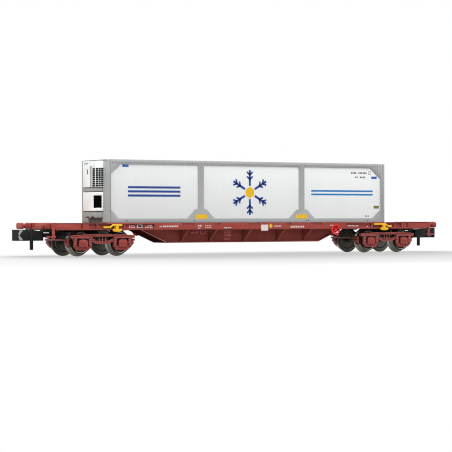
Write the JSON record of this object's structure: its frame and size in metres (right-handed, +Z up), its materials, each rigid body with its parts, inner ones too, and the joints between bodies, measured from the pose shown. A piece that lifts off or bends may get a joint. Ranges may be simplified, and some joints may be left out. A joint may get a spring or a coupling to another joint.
{
  "type": "scale model container flatcar with refrigerated container",
  "caption": "Small scale model of a bogie container flatcar with a fishbelly frame, carrying a long white refrigerated container with a grey frame and an end cooling unit.",
  "frame": {"origin": "on the floor under the middle of the car", "axes": "+X along the car towards the container's doors, +Z up, -Y the near side"},
  "size_m": [0.1308, 0.0166, 0.0245],
  "materials": {
    "car_frame": "moulded plastic, red brown",
    "bogies": "moulded plastic, red brown",
    "bogie_centre": "moulded plastic, black",
    "rope_hooks": "yellow paint",
    "handwheels": "red paint",
    "wheels": "darkened metal",
    "axles": "darkened metal",
    "couplers": "moulded plastic, black",
    "container_frame": "grey paint",
    "container_panel": "white paint",
    "lock_rods": "grey paint",
    "unit_housing": "white paint",
    "unit_trim": "grey paint",
    "unit_dark": "black"
  },
  "bodies": {
    "flatcar": {"centre_girder": "car_frame", "girder_ends": "car_frame", "side_sill_near": "car_frame", "side_sill_far": "car_frame", "cross_ribs": "car_frame", "deck_plate": "car_frame", "bolster_left": "car_frame", "bolster_right": "car_frame", "end_beam_left": "car_frame", "end_beam_right": "car_frame", "buffers_left": "car_frame", "buffers_right": "car_frame", "shunter_steps_left": "car_frame", "shunter_steps_right": "car_frame", "brake_levers": "car_frame", "rope_hooks": "rope_hooks", "handwheels": "handwheels", "coupler_box_left": "bogie_centre", "coupler_box_right": "bogie_centre"},
    "container": {"container_frame_near": "container_frame", "container_frame_far": "container_frame", "container_front_frame": "container_frame", "container_rear_frame": "container_frame", "container_roof": "container_frame", "container_floor": "container_frame", "container_wall_near": "container_panel", "container_wall_far": "container_panel", "door_leaf_near": "container_panel", "door_leaf_far": "container_panel", "lock_rods": "lock_rods", "unit_lower_housing": "unit_housing", "unit_upper_housing": "unit_housing", "unit_base": "unit_trim", "unit_band": "unit_trim", "unit_core": "unit_dark", "unit_window": "unit_dark"},
    "bogie_left": {"bogie_sides_left": "bogies", "bogie_centre_left": "bogie_centre", "brake_gear_left": "bogies"},
    "wheelset_left_outer": {"wheels_left_outer": "wheels", "axle_left_outer": "axles"},
    "wheelset_left_inner": {"wheels_left_inner": "wheels", "axle_left_inner": "axles"},
    "drawbar_left": {"drawbar_left": "couplers"},
    "coupler_head_left": {"coupler_head_left": "couplers"},
    "bogie_right": {"bogie_sides_right": "bogies", "bogie_centre_right": "bogie_centre", "brake_gear_right": "bogies"},
    "wheelset_right_outer": {"wheels_right_outer": "wheels", "axle_right_outer": "axles"},
    "wheelset_right_inner": {"wheels_right_inner": "wheels", "axle_right_inner": "axles"},
    "drawbar_right": {"drawbar_right": "couplers"},
    "coupler_head_right": {"coupler_head_right": "couplers"}
  },
  "joints": [
    {"name": "bogie_left_turn", "type": "hinge", "parent": "flatcar", "child": "bogie_left", "pos_m": [-0.0445, 0, 0.0055], "axis": [0, 0, 1], "range_deg": [-13, 13]},
    {"name": "wheelset_left_outer_spin", "type": "hinge", "parent": "bogie_left", "child": "wheelset_left_outer", "pos_m": [-0.05013, 0, 0.00347], "axis": [0, 1, 0], "continuous": true},
    {"name": "wheelset_left_inner_spin", "type": "hinge", "parent": "bogie_left", "child": "wheelset_left_inner", "pos_m": [-0.03887, 0, 0.00347], "axis": [0, 1, 0], "continuous": true},
    {"name": "coupler_left_swing", "type": "hinge", "parent": "flatcar", "child": "drawbar_left", "pos_m": [-0.05555, 0, 0.00537], "axis": [0, 0, 1], "range_deg": [-10, 10]},
    {"name": "coupler_left_lift", "type": "hinge", "parent": "drawbar_left", "child": "coupler_head_left", "pos_m": [-0.0573, 0, 0.00537], "axis": [0, 1, 0], "range_deg": [0, 8]},
    {"name": "bogie_right_turn", "type": "hinge", "parent": "flatcar", "child": "bogie_right", "pos_m": [0.0445, 0, 0.0055], "axis": [0, 0, 1], "range_deg": [-13, 13]},
    {"name": "wheelset_right_outer_spin", "type": "hinge", "parent": "bogie_right", "child": "wheelset_right_outer", "pos_m": [0.05013, 0, 0.00347], "axis": [0, 1, 0], "continuous": true},
    {"name": "wheelset_right_inner_spin", "type": "hinge", "parent": "bogie_right", "child": "wheelset_right_inner", "pos_m": [0.03887, 0, 0.00347], "axis": [0, 1, 0], "continuous": true},
    {"name": "coupler_right_swing", "type": "hinge", "parent": "flatcar", "child": "drawbar_right", "pos_m": [0.05555, 0, 0.00537], "axis": [0, 0, 1], "range_deg": [-10, 10]},
    {"name": "coupler_right_lift", "type": "hinge", "parent": "drawbar_right", "child": "coupler_head_right", "pos_m": [0.0573, 0, 0.00537], "axis": [0, -1, 0], "range_deg": [0, 8]},
    {"name": "container_lift", "type": "slide", "parent": "flatcar", "child": "container", "axis": [0, 0, 1], "range_m": [0, 0.02]}
  ]
}
